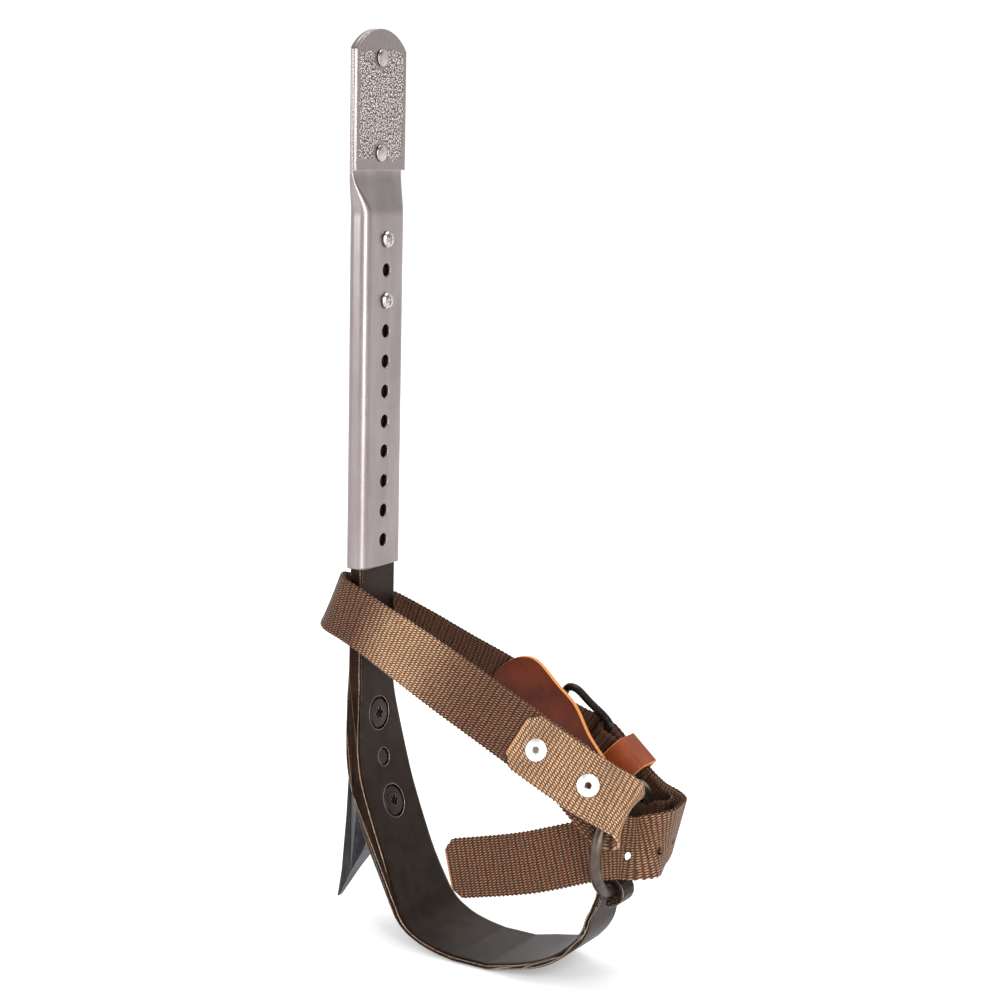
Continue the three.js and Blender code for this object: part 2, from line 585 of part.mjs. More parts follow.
climber.add(piece('shank_stirrup', shankStirrup(), forgedSteel));
climber.add(piece('gaff', gaff(), darkSteel));
climber.add(piece('gaff_screw_upper', gaffScrew(GAFF_SCREW_Z[0]), darkSteel));
climber.add(piece('gaff_screw_lower', gaffScrew(GAFF_SCREW_Z[1]), darkSteel));
climber.add(piece('gaff_locating_pin', gaffPin(), darkSteel));

climber.add(piece('sleeve', sleeve(), aluminium));
climber.add(piece('size_plate', sizePlate(), aluminium));
climber.add(piece('plate_rivet_lower', plateRivet(PLATE.rivets[0]), nickel));
climber.add(piece('plate_rivet_upper', plateRivet(PLATE.rivets[1]), nickel));
SCREWED_HOLES.forEach((hole, i) => {
  const label = ['upper', 'lower'][i];
  const z = TOP_HOLE_Z - hole * HOLE_PITCH;
  climber.add(piece(`height_screw_${label}`, screwHead(z), nickel));
  climber.add(piece(`height_screw_stem_${label}`, screwStem(z), nickel));
});

climber.add(piece('strap_ring', ring(), ringSteel));

const straps = new THREE.Group();
straps.add(piece('foot_strap_near_run', holed(bentBand(NEAR_RUN)), webbing));
straps.add(piece('foot_strap_ring_fold', holed(bentBand(RING_FOLD, { steps: 48, strips: 6 })), webbing));
straps.add(piece('foot_strap_shank_wrap', bentBand(WRAP, { steps: 28 }), webbing));
straps.add(piece('foot_strap_far_run', bentBand(FAR_RUN), webbing));
straps.add(piece('foot_strap_free_end', slotted(bentBand(FREE_END, { steps: 60 }), 1, 17.5, 2.2), webbing));
straps.add(piece('buckle_strap',
  slotted(bentBand(BUCKLE_STRAP, { steps: 64, strips: 6 }), 5, 17.5, 2.8), webbing));
for (const [name, place] of Object.entries(EYELETS)) straps.add(piece(name, eyelet(place), nickel));
straps.add(piece('leather_pad', leatherPad(), leather));
straps.add(piece('strap_keeper', keeper().applyMatrix4(farSide([38.8, 27, 76.6], 41.4, 0)), leather));
climber.add(straps);

const buckle = new THREE.Group();
buckle.applyMatrix4(BUCKLE_FRAME);
buckle.add(piece('buckle_frame', buckleFrame(), darkSteel));
buckle.add(piece('buckle_roller', buckleRoller(), darkSteel));
buckle.add(piece('buckle_tongue', buckleTongue(), darkSteel));
climber.add(buckle);

export default climber;
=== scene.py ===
"""Looks of one tree climbing spur: satin sleeve, forged shank, woven strap, leather pad."""

import math

import bmesh
import bpy
import numpy as np
from mathutils import Matrix, Vector


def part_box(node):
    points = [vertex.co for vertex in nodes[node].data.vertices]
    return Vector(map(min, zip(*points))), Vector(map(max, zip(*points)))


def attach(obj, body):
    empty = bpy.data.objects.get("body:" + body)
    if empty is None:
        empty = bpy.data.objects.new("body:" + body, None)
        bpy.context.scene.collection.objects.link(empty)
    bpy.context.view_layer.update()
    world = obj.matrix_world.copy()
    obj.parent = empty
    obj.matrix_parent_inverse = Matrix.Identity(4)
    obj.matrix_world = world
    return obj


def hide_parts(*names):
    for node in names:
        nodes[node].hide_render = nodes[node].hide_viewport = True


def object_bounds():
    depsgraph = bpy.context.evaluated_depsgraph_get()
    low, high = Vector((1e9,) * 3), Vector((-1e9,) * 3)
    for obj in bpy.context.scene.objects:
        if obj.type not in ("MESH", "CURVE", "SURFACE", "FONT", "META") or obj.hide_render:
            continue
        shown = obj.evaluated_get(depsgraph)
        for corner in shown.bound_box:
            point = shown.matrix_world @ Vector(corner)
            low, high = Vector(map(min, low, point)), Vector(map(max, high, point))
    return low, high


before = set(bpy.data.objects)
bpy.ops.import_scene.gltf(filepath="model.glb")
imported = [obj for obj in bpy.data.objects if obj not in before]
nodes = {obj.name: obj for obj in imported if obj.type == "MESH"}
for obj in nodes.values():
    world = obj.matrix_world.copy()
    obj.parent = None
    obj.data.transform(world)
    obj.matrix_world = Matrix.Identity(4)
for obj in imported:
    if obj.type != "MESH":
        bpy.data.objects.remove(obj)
cad_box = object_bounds()

MM = 0.001                          # a millimetre in the scene's metres


# ---- camera ----

FOCAL = 2187.0                      # focal length over a frame 1000 units wide
FRAME_WIDTH = 1000
SENSOR = 36.0                       # sensor width in millimetres
EYE_POINT = Vector((452.4, -756.2, 343.1)) * MM
YAW, PITCH, ROLL = 0.5440, 0.1704, 0.0225


def make_camera():
    """Camera at the photograph's own viewpoint."""
    ahead = Vector((-math.sin(YAW) * math.cos(PITCH), math.cos(YAW) * math.cos(PITCH),
                    -math.sin(PITCH)))
    level = Vector((math.cos(YAW), math.sin(YAW), 0))
    upward = level.cross(ahead)
    right = math.cos(ROLL) * level + math.sin(ROLL) * upward
    up = -math.sin(ROLL) * level + math.cos(ROLL) * upward
    data = bpy.data.cameras.new("camera")
    data.sensor_width = SENSOR
    data.lens = FOCAL / FRAME_WIDTH * SENSOR
    camera = bpy.data.objects.new("camera", data)
    turn = Matrix((right, up, -ahead)).transposed().to_4x4()
    camera.matrix_world = Matrix.Translation(EYE_POINT) @ turn
    bpy.context.scene.collection.objects.link(camera)
    bpy.context.scene.camera = camera


# ---- node graphs ----

BEVEL_SAMPLES = 6                   # rays that each softened edge takes


class Surface:
    """A material whose graph is written as nested calls; each call returns a socket."""

    def __init__(self, name, **plain):
        self.material = bpy.data.materials.new(name)
        self.material.use_nodes = True
        self.tree = self.material.node_tree
        self.shader = self.tree.nodes["Principled BSDF"]
        for key, value in plain.items():
            self.shader.inputs[key.replace("_", " ")].default_value = value

    def feed(self, socket, value):
        if isinstance(value, bpy.types.NodeSocket):
            self.tree.links.new(value, socket)
        elif value is not None:
            socket.default_value = value

    def node(self, kind, sockets=None, out=0, **settings):
        made = self.tree.nodes.new("ShaderNode" + kind)
        for key, value in settings.items():
            setattr(made, key, value)
        for key, value in (sockets or {}).items():
            self.feed(made.inputs[key], value)
        return made.outputs[out]

    def math(self, operation, a, b=None):
        return self.node("Math", {0: a, 1: b}, operation=operation)

    def times(self, first, *others):
        for other in others:
            first = self.math("MULTIPLY", first, other)
        return first

    def plus(self, a, b):
        return self.math("ADD", a, b)

    def mix(self, factor, a, b):
        return self.node("Mix", {0: factor, 6: a, 7: b}, out=2, data_type="RGBA")

    def span(self, value, low, high, to_low=0.0, to_high=1.0):
        sockets = {"Value": value, "From Min": low, "From Max": high,
                   "To Min": to_low, "To Max": to_high}
        return self.node("MapRange", sockets, interpolation_type="SMOOTHSTEP")

    def place(self, scale=(1, 1, 1)):
        """Position in the object's frame, in millimetres, squeezed by scale."""
        at = self.node("TexCoord", out="Object")
        size = tuple(1000 * s for s in scale)
        return self.node("VectorMath", {0: at, 1: size}, operation="MULTIPLY")

    def noise(self, vector, scale, detail=3.0, roughness=0.55):
        sockets = {"Vector": vector, "Scale": scale, "Detail": detail, "Roughness": roughness}
        return self.node("TexNoise", sockets)

    def attribute(self, name, out="Fac"):
        return self.node("Attribute", out=out, attribute_name=name)

    def parts(self, vector):
        made = self.tree.nodes.new("ShaderNodeSeparateXYZ")
        self.feed(made.inputs[0], vector)
        return made.outputs[0], made.outputs[1], made.outputs[2]

    def wear_and_highlight_edge(self, radius, low=0.02, high=0.22):
        """1 on sharp edges and 0 on flat faces; edges made pale by it are partly wear and partly a
        painted highlight.
        """
        rounded = self.node("Bevel", {"Radius": radius * MM}, samples=BEVEL_SAMPLES)
        plain = self.node("NewGeometry", out="Normal")
        facing = self.node("VectorMath", {0: rounded, 1: plain}, out="Value",
                           operation="DOT_PRODUCT")
        return self.span(self.math("SUBTRACT", 1.0, facing), low, high)

    def relief(self, height, depth, strength=1.0, radius=None):
        """Bump of that depth in millimetres, over edges softened by radius."""
        normal = None
        if radius:
            normal = self.node("Bevel", {"Radius": radius * MM}, samples=BEVEL_SAMPLES)
        sockets = {"Strength": strength, "Distance": depth * MM, "Height": height, "Normal": normal}
        self.feed(self.shader.inputs["Normal"], self.node("Bump", sockets))

    def set(self, **links):
        for key, value in links.items():
            self.feed(self.shader.inputs[key.replace("_", " ")], value)
        return self.material


def rgb(red, green, blue):
    """Linear colour from display values of 0 to 255."""
    def linear(v):
        v /= 255
        return v / 12.92 if v <= 0.04045 else ((v + 0.055) / 1.055) ** 2.4
    return (linear(red), linear(green), linear(blue), 1)


# ---- materials ----

PLATE_RIVETS = (330, 368.6)         # heights of the two rivets in the size plate
PIP_PITCH = (0.9, 1.0)              # across and up the size plate
PIP_FIELD = (16.0, 327.0, 372.0)    # half width, bottom and top of the field of pips
WEAVE_U, WEAVE_V = 1.95, 1.06       # pitch of the weave along and across the strap
WEAVE_LEAN = 0.55                   # share of the cross pitch that each float leans by


def satin_aluminium():
    """The sleeve: faint draw lines along the tube, clouding and light scuffs."""
    s = Surface("satin_aluminium", Metallic=1.0)
    grain = s.noise(s.place((1.6, 1.6, 0.02)), 3.0, 4.0, 0.7)
    cloud = s.noise(s.place((1, 1, 0.3)), 0.09, 3.0)
    scuff = s.noise(s.place((0.6, 2.4, 0.6)), 0.7, 5.0, 0.75)
    scuffed = s.span(scuff, 0.62, 0.72)
    base = s.mix(s.span(cloud, 0.3, 0.7), rgb(150, 139, 140), rgb(166, 156, 156))
    base = s.mix(s.times(s.span(grain, 0.35, 0.65), 0.3), base, rgb(130, 120, 121))
    base = s.mix(s.times(scuffed, 0.25), base, rgb(205, 198, 196))
    # pale edges: partly wear, partly a painted highlight along them
    base = s.mix(s.wear_and_highlight_edge(0.4, 0.1, 0.3), base, rgb(226, 220, 218))
    rough = s.plus(s.span(grain, 0.2, 0.8, 0.28, 0.38), s.times(scuffed, 0.08))
    s.relief(s.plus(grain, s.times(scuff, 0.3)), 0.02, 0.3, radius=1.2)
    return s.set(Base_Color=base, Roughness=rough)


def forged_steel():
    """Black scale over fine pits, with bright dots along the edges: partly rubbed wear, partly a
    painted highlight.
    """
    s = Surface("forged_steel", Metallic=0.85, Specular_IOR_Level=0.05)
    at = s.place()
    scale = s.noise(at, 0.12, 4.0, 0.6)
    pits = s.noise(at, 2.2, 4.0, 0.65)
    fine = s.noise(at, 7.0, 2.0, 0.6)
    base = s.mix(s.span(scale, 0.3, 0.7), rgb(30, 19, 12), rgb(46, 32, 23))
    base = s.mix(s.times(s.span(pits, 0.58, 0.72), 0.5), base, rgb(78, 58, 45))
    rubbed = s.span(fine, 0.36, 0.54)
    # worn: bright dots along the edges, partly rubbed wear and partly a painted highlight
    worn = s.times(s.wear_and_highlight_edge(0.6, 0.02, 0.1), rubbed, s.span(pits, 0.36, 0.5))
    base = s.mix(worn, base, rgb(240, 216, 196))
    rough = s.math("SUBTRACT", s.span(pits, 0.25, 0.75, 0.3, 0.5), s.times(worn, 0.1))
    height = s.plus(pits, s.times(fine, 0.35))
    s.relief(height, 0.26, 0.6, radius=1.6)
    return s.set(Base_Color=base, Roughness=rough)


def ground_steel():
    """The gaff: blued steel with grinding lines along the spike."""
    s = Surface("ground_steel", Metallic=0.8, Specular_IOR_Level=0.1)
    at = s.place()
    lines = s.noise(s.place((2.5, 2.5, 0.12)), 1.4, 4.0, 0.7)
    cloud = s.noise(at, 0.15, 3.0)
    base = s.mix(s.span(cloud, 0.3, 0.7), rgb(28, 26, 30), rgb(48, 46, 52))
    # pale edges: partly wear, partly a painted highlight
    base = s.mix(s.times(s.wear_and_highlight_edge(0.3), 0.8), base, rgb(180, 172, 168))
    s.relief(lines, 0.06, 0.4, radius=0.3)
    return s.set(Base_Color=base, Roughness=s.span(lines, 0.25, 0.75, 0.26, 0.42))


def dark_steel():
    """Black oxide with pale edges, partly rubbed wear and partly a painted highlight, for the
    buckle, the gaff's screws and pin, and stems.
    """
    s = Surface("dark_steel", Metallic=0.75)
    at = s.place()
    spots = s.noise(at, 1.1, 4.0, 0.7)
    base = s.mix(s.span(spots, 0.3, 0.7), rgb(26, 21, 18), rgb(50, 42, 37))
    # pale edges: partly wear, partly a painted highlight
    base = s.mix(s.times(s.wear_and_highlight_edge(0.3), 0.8), base, rgb(176, 164, 154))
    s.relief(spots, 0.06, 0.45, radius=0.25)
    return s.set(Base_Color=base, Roughness=s.span(spots, 0.25, 0.75, 0.22, 0.38))


def plated_steel(name, low, high, rough):
    """Plating that runs from one colour to another in a soft haze."""
    s = Surface(name, Metallic=1.0)
    at = s.place()
    haze = s.noise(at, 0.8, 4.0, 0.6)
    fine = s.noise(at, 7.0, 2.0)
    base = s.mix(s.span(haze, 0.3, 0.7), low, high)
    s.relief(fine, 0.008, 0.2, radius=0.3)
    return s.set(Base_Color=base, Roughness=s.span(haze, 0.25, 0.75, rough, rough + 0.1))


def ring_steel():
    """The ring: smooth worn steel with shallow pits."""
    s = Surface("ring_steel", Metallic=0.85)
    at = s.place()
    cloud = s.noise(at, 0.12, 3.0, 0.5)
    pits = s.noise(at, 3.4, 3.0, 0.6)
    base = s.mix(s.span(cloud, 0.3, 0.7), rgb(74, 64, 57), rgb(100, 88, 79))
    base = s.mix(s.times(s.span(pits, 0.6, 0.75), 0.3), base, rgb(140, 126, 115))
    s.relief(pits, 0.05, 0.4)
    return s.set(Base_Color=base, Roughness=s.span(pits, 0.25, 0.75, 0.28, 0.42))


def stamped_plate():
    """A field of small raised pips with no letter shapes, inside a plain border, with painted shade
    between the pips and painted glints on their tops.
    """
    s = Surface("stamped_plate", Metallic=1.0)
    _, across, up = s.parts(s.place())
    cell = s.node("CombineXYZ", {0: s.math("DIVIDE", across, PIP_PITCH[0]),
                                 1: s.math("DIVIDE", up, PIP_PITCH[1])})
    reach = s.node("TexVoronoi", {"Vector": cell, "Scale": 1.0, "Randomness": 1.0},
                   out="Distance", voronoi_dimensions="2D")
    pip = s.span(reach, 0.5, 0.12)
    ragged = s.times(s.math("SUBTRACT", s.noise(s.place(), 0.18, 2.0), 0.5), 7.0)
    half = s.plus(s.math("ABSOLUTE", across), ragged)
    level = s.plus(up, ragged)
    wide, bottom, top = PIP_FIELD
    field = s.times(s.span(half, wide, wide - 1.0), s.span(level, bottom, bottom + 1.5),
                    s.span(level, top, top - 1.5))
    for rivet in PLATE_RIVETS:
        away = s.node("CombineXYZ", {0: across, 1: s.math("SUBTRACT", up, rivet)})
        length = s.node("VectorMath", {0: away}, out="Value", operation="LENGTH")
        field = s.times(field, s.span(length, 4.6, 5.4))
    pips = s.times(pip, field)
    grain = s.noise(s.place((1, 1.6, 0.1)), 3.0, 4.0, 0.7)
    base = s.mix(s.span(grain, 0.3, 0.7), rgb(138, 128, 127), rgb(158, 148, 146))
    # painted shade in the valleys between the pips
    painted_valley_shade = s.times(s.span(reach, 0.35, 0.6), field)
    base = s.mix(s.times(painted_valley_shade, 0.6), base, rgb(74, 64, 60))
    # painted glints on the tops of the pips
    base = s.mix(s.times(s.span(pip, 0.45, 0.9), field), base, rgb(222, 212, 206))
    # pale edges: partly wear, partly a painted highlight
    base = s.mix(s.wear_and_highlight_edge(0.35), base, rgb(226, 220, 218))
    height = s.plus(pips, s.times(grain, 0.06))
    s.relief(height, 0.34, 1.0, radius=0.35)
    return s.set(Base_Color=base, Roughness=s.span(grain, 0.2, 0.8, 0.24, 0.36))


def woven_webbing():
    """Leaning floats in columns, with rust thread between the columns.

    The strap attribute holds the place along and across in millimetres, and a tone from -1,
    dark, to 1, pale, that also carries a painted highlight and painted shade; the cut attribute
    is 1 at a frayed end. The gaps between the floats hold painted shade and their crowns a
    painted sheen.
    """
    s = Surface("woven_webbing", Specular_IOR_Level=0.18)
    u, v, tone_and_light = s.parts(s.attribute("strap", "Vector"))
    wander = s.noise(s.place(), 0.5, 2.0)
    u = s.plus(u, s.span(wander, 0.2, 0.8, -0.3, 0.3))
    count = s.math("DIVIDE", u, WEAVE_U)
    along = s.math("FRACT", count)
    lean = s.times(along, WEAVE_LEAN)
    across = s.math("FRACT", s.plus(s.math("DIVIDE", v, WEAVE_V), lean))
    float_u = s.math("POWER", s.math("SINE", s.times(along, math.pi)), 0.7)
    float_v = s.math("POWER", s.math("SINE", s.times(across, math.pi)), 0.9)
    top = s.times(s.span(float_u, 0.0, 0.8, 0.45, 1.0), float_v)
    crown = s.times(s.span(float_u, 0.6, 0.95), s.span(float_v, 0.55, 0.9))
    rust = s.times(s.span(float_u, 0.6, 0.28), s.span(float_v, 0.5, 0.92))
    every = s.math("PINGPONG", count, 1.0)
    threads = s.node("CombineXYZ", {0: s.times(u, 0.8), 1: s.times(v, 6.0)})
    fibre = s.noise(threads, 1.6, 3.0)
    patch = s.noise(s.place(), 0.06, 3.0)
    # bright: how far the pale mix comes in; pale on the fold's leaf, a painted highlight on the
    # near run
    bright = s.span(tone_and_light, 0.0, 1.0)
    # painted shade where the tone is low: along the far run and the buckle strap
    painted_shade = s.span(tone_and_light, 0.0, -1.0)
    # Dark in the gaps between floats and lighter on their tops, in the base and the pale mix:
    # painted shade in the gaps
    base = s.mix(s.span(top, 0.1, 0.8), rgb(14, 6, 3), rgb(66, 36, 19))
    pale = s.mix(s.span(top, 0.1, 0.8), rgb(44, 26, 15), rgb(160, 120, 88))
    base = s.mix(bright, base, pale)
    # painted sheen: near-white glints on the float crowns, stronger where the tone is high
    painted_sheen = s.times(crown, s.span(fibre, 0.3, 0.7, 0.35, 1.0), s.span(tone_and_light, -0.2, 1.0, 0.22, 1.0))
    base = s.mix(painted_sheen, base, rgb(232, 194, 158))
    thread = s.times(rust, s.span(every, 0.2, 0.8, 0.35, 1.0), s.span(tone_and_light, 0.8, 0.1, 0.15, 1.0))
    base = s.mix(thread, base, rgb(150, 62, 24))
    base = s.mix(s.span(patch, 0.35, 0.75, 0.0, 0.3), base, rgb(70, 46, 32))
    base = s.mix(s.times(painted_shade, 0.6), base, rgb(44, 26, 17))
    base = s.mix(s.attribute("cut"), base, rgb(214, 160, 112))
    height = s.plus(top, s.times(fibre, 0.2))
    s.relief(height, 0.38, 1.0)
    return s.set(Base_Color=base, Roughness=s.span(top, 0.0, 1.0, 0.7, 0.36))


def waxed_leather(name, low, high):
    """Smooth hide from one colour to another, with a raw cut edge where raw is 1."""
    s = Surface(name, Specular_IOR_Level=0.2, Coat_Weight=0.03, Coat_Roughness=0.25)
    at = s.place()
    raw = s.attribute("raw")
    cloud = s.noise(at, 0.05, 3.0)
    grain = s.node("TexVoronoi", {"Vector": at, "Scale": 1.6}, feature="DISTANCE_TO_EDGE")
    pores = s.noise(at, 2.4, 4.0, 0.6)
    base = s.mix(s.span(cloud, 0.3, 0.7), low, high)
    base = s.mix(s.times(s.span(grain, 0.12, 0.0), 0.35), base, rgb(70, 26, 12))
    base = s.mix(s.times(s.span(pores, 0.56, 0.75), 0.25), base, rgb(172, 84, 42))
    fibre = s.noise(at, 3.0, 4.0, 0.7)
    edge = s.mix(s.span(fibre, 0.3, 0.7), rgb(178, 106, 54), rgb(236, 166, 98))
    cut = s.span(raw, 0.35, 0.65)
    base = s.mix(cut, base, edge)
    height = s.plus(s.span(grain, 0.0, 0.2), s.times(fibre, 0.5))
    s.relief(height, 0.08, 0.45)
    rough = s.plus(s.span(pores, 0.25, 0.75, 0.32, 0.46), s.times(cut, 0.35))
    return s.set(Base_Color=base, Roughness=rough)


# ---- strap routes: point, width direction and edge curl, in millimetres ----

SLOPE = (.41, 0, .91)
NEAR_SLOPE = (.38, .28, .88)
FAR_SLOPE = (.31, 0, .95)
LEAN = (.545, 0, .839)
FOLD = (.16, .6, .78)
RING_SIDE = (.08, .76, .64)
DOWN = (.66, 0, .75)
LEAF = (.38, .32, .87)

RING_FOLD = [
    ((19.2, -22.5, 100.4), LEAF, 0), ((30, -22.5, 95.3), LEAF, 0),
    ((43, -22.2, 89.2), (.38, .33, .87), 0), ((51.4, -21.6, 85.4), (.31, .4, .86), -.4),
    ((58, -19.2, 82.2), FOLD, -2.4), ((62.6, -17.2, 79.6), FOLD, -1.8),
    ((65.4, -14.2, 76), FOLD, 0), ((63.2, -11.2, 72.2), RING_SIDE, 3),
    ((58.4, -10.8, 70.6), RING_SIDE, 5), ((54, -13, 74.2), RING_SIDE, 4),
    ((50.4, -17.2, 80.8), (.26, .5, .83), 1.4), ((43.4, -19.3, 87.8), LEAF, 0),
]
NEAR_RUN = [
    ((40.4, -19.2, 89.3), LEAF, 0), ((28, -19.4, 95.2), LEAF, 0),
    ((8, -19.5, 104.6), NEAR_SLOPE, 0), ((-16, -19.1, 115.6), NEAR_SLOPE, 0),
    ((-40, -18.4, 126.4), (.39, .12, .91), 0), ((-55, -18.2, 133), SLOPE, 0),
]
SHANK_WRAP = [
    ((-66, -17.8, 137.6), SLOPE, 0), ((-76.5, -14.6, 140.4), SLOPE, 0),
    ((-83, -7, 140.6), SLOPE, 0), ((-84, 2.5, 138.2), SLOPE, 0),
    ((-79.4, 11.6, 133.6), (.36, 0, .93), 0), ((-69.4, 17.2, 128.8), FAR_SLOPE, 0),
    ((-56, 18.8, 123.8), FAR_SLOPE, 0),
]
FAR_RUN = [
    ((-34, 20.2, 115.2), FAR_SLOPE, 0), ((-15, 21.2, 108.2), FAR_SLOPE, 0),
    ((-2, 20.6, 103.2), (.38, 0, .92), 0), ((8.1, 19.3, 97.6), LEAN, 0),
    ((18, 23.4, 91.85), LEAN, 0),
]
FREE_END = [
    ((27.6, 30.4, 85.8), LEAN, 0), ((33, 30.1, 81.5), DOWN, 0), ((38.4, 29.4, 76.9), DOWN, 0),
    ((46, 29.2, 69.9), DOWN, 0), ((55, 29.2, 63.8), (.5, 0, .87), 0),
    ((63.4, 28.4, 61), (.33, 0, .94), 0), ((69.2, 24.2, 60), (.26, 0, .96), 0),
    ((71.8, 16.4, 59.8), (.2, 0, .98), 0), ((73, 8, 59.4), (.15, .1, .98), 0),
    ((71, -.5, 58.4), (-.05, .3, .95), 0), ((66, -4.6, 57.2), (-.25, .42, .87), 0),
    ((58, -5.8, 56.3), (-.25, .36, .9), 0), ((46, -8, 53.2), (-.22, .32, .92), 0),
    ((20, -14, 44.6), (-.2, .1, .97), 0), ((-14, -19.5, 36.7), (-.1, 0, 1), 0),
]
BUCKLE_STRAP = [
    ((38.8, 24.4, 76.5), DOWN, 0), ((45.2, 23.9, 70.6), DOWN, 0),
    ((49, 21.2, 66.8), (.45, -.05, .88), 2.6), ((53.2, 18, 62.8), (.2, -.2, .96), 5),
    ((59, 17.2, 59.8), (.12, -.16, .98), 5), ((63, 17.8, 59.2), (.18, 0, .98), 2),
    ((65, 20, 59.4), (.2, 0, .98), .4), ((64.8, 23, 60.2), (.2, 0, .98), -.4),
    ((61.6, 25.9, 61), (.22, 0, .98), -1.6), ((57.4, 26.5, 62.6), (.27, -.06, .96), -1.6),
    ((51.6, 26.6, 66), (.48, 0, .88), -1), ((45.2, 26.6, 70.7), DOWN, 0),
    ((38.8, 26.8, 76.6), DOWN, 0), ((32.6, 27.6, 81.8), (.6, 0, .8), 0),
    ((28.5, 28, 84.8), LEAN, 0), ((25.4, 24.5, 86.8), LEAN, 0), ((28.5, 21.1, 84.8), LEAN, 0),
    ((33, 23.2, 81.5), (.6, 0, .8), 0), ((38.2, 24.3, 77.1), DOWN, 0),
]

WEB_HALF = 12.7
WEB_THICK = 1.9
STEP = 0.47                         # mesh step along a strap
COLUMNS = 21                        # even mesh columns across it, between the rims
RIM = 1.1                           # how far those columns stay inside the edges
LOOP = 0.3                          # width of the looped edge, and how far its loops reach
ROUND = 0.9                         # how far inside the edge the web gets its full thickness
FRAY = 0.9                          # length of the pale frayed end
RIB = 0.05                          # height of the ribs on both faces
LOOP_SWAY = 0.16                    # how far the loops rise and fall
SLACK = 0.05                        # spread of the slow unevenness along a strap


def through(values, knots, per_span=24):
    """Centripetal Catmull-Rom through rows of values, spaced by knots."""
    first, last = 2 * values[0] - values[1], 2 * values[-1] - values[-2]
    points = np.vstack([first, values, last])
    gaps = np.concatenate([knots[:1], knots, knots[-1:]])
    rows = []
    for i in range(1, len(points) - 2):
        p0, p1, p2, p3 = points[i - 1:i + 3]
        d0, d1, d2 = gaps[i - 1:i + 2]
        leave = ((p1 - p0) / d0 - (p2 - p0) / (d0 + d1) + (p2 - p1) / d1) * d1
        arrive = ((p2 - p1) / d1 - (p3 - p1) / (d1 + d2) + (p3 - p2) / d2) * d1
        t = np.linspace(0, 1, per_span, endpoint=False)[:, None]
        rows.append(p1 + leave * t + (3 * (p2 - p1) - 2 * leave - arrive) * t ** 2
                    + (2 * (p1 - p2) + leave + arrive) * t ** 3)
    return np.vstack([*rows, points[-2:-1]])


def unit(rows):
    return rows / np.linalg.norm(rows, axis=1, keepdims=True)


class Route:
    """A strap's centreline with its width and face directions, by length in millimetres."""

    def __init__(self, stations):
        points = np.array([p for p, _, _ in stations], float)
        sides = unit(np.array([w for _, w, _ in stations], float))
        curls = np.array([[c] for _, _, c in stations], float)
        knots = np.linalg.norm(np.diff(points, axis=0), axis=1) ** 0.5
        rows = through(np.hstack([points, sides, curls]), knots)
        self.length = np.concatenate([[0], np.cumsum(np.linalg.norm(
            np.diff(rows[:, :3], axis=0), axis=1))])
        tangent = unit(np.gradient(rows[:, :3], self.length, axis=0))
        side = rows[:, 3:6]
        side = unit(side - (side * tangent).sum(1, keepdims=True) * tangent)
        self.rows = np.hstack([rows[:, :3], side, np.cross(tangent, side), rows[:, 6:7]])

    def at(self, u):
        return np.stack([np.interp(u, self.length, column) for column in self.rows.T], -1)

    def nearest(self, point, low=0.0, high=1e9):
        """(u, v) of the place on the strap closest to a point in millimetres."""
        u = np.arange(max(low, 0), min(high, self.length[-1]), 0.1)
        rows = self.at(u)
        away = np.array(point, float) - rows[:, :3]
        v = (away * rows[:, 3:6]).sum(1)
        best = np.linalg.norm(away - v[:, None] * rows[:, 3:6], axis=1).argmin()
        return u[best], v[best]


def hole_distance(u, v, hole):
    """Distance in millimetres outside a round-ended hole (u, v, half length, radius)."""
    u0, v0, half, radius = hole
    return np.hypot(np.maximum(np.abs(u - u0) - half, 0), v - v0) - radius


def snap_to_hole(u, v, hole, ring):
    """Moves the grid points marked in ring onto the hole's outline."""
    u0, v0, half, radius = hole
    du, dv = u[ring] - u0, v[ring] - v0
    middle = np.clip(du, -half, half)
    reach = np.maximum(np.hypot(du - middle, dv), 1e-6)
    u[ring] = u0 + middle + (du - middle) / reach * radius
    v[ring] = v0 + dv / reach * radius


def punch(u, v, hole):
    """Snaps the grid points round a hole to its outline, and returns the cells inside it."""
    mid_u = (u[1:, 1:] + u[:-1, :-1]) / 2
    mid_v = (v[1:, 1:] + v[:-1, :-1]) / 2
    gone = hole_distance(mid_u, mid_v, hole) < 0
    rows, columns = gone.shape
    touched = np.zeros(u.shape, int)
    for a in (0, 1):
        for b in (0, 1):
            touched[a:a + rows, b:b + columns] += gone
    snap_to_hole(u, v, hole, (touched > 0) & (touched < 4))
    return gone


def end_taper(from_end, clip):
    """How much narrower each side is near an end whose corners are cut off."""
    return np.clip(clip - from_end, 0, clip)


def strap_grid(total, holes, clips):
    """Places (u, v) over a strap, how far its sides are cut in there, and the kept cells."""
    u_line = np.linspace(0, total, int(total / STEP) + 1)
    inner = np.linspace(-WEB_HALF + RIM, WEB_HALF - RIM, COLUMNS)
    v_line = np.concatenate([[-WEB_HALF, -WEB_HALF + LOOP], inner, [WEB_HALF - LOOP, WEB_HALF]])
    u, v = np.meshgrid(u_line, v_line, indexing="ij")
    narrow = end_taper(u, clips[0]) + end_taper(total - u, clips[1])
    v = v * (1 - narrow / WEB_HALF)
    kept = np.ones((len(u_line) - 1, len(v_line) - 1), bool)
    for hole in holes:
        kept &= ~punch(u, v, hole)
    return u, v, narrow, kept


def strap_faces(index, kept):
    """Upper and lower quads, and the walls that join them along every open edge."""
    quads = np.stack([index[:-1, :-1], index[1:, :-1], index[1:, 1:], index[:-1, 1:]], -1)[kept]
    edges = {}
    for quad in quads.tolist():
        for a, b in zip(quad, quad[1:] + quad[:1]):
            if (b, a) in edges:
                del edges[(b, a)]
            else:
                edges[(a, b)] = True
    count = index.size
    walls = [(b, a, a + count, b + count) for a, b in edges]
    return quads.tolist() + (quads[:, ::-1] + count).tolist() + walls


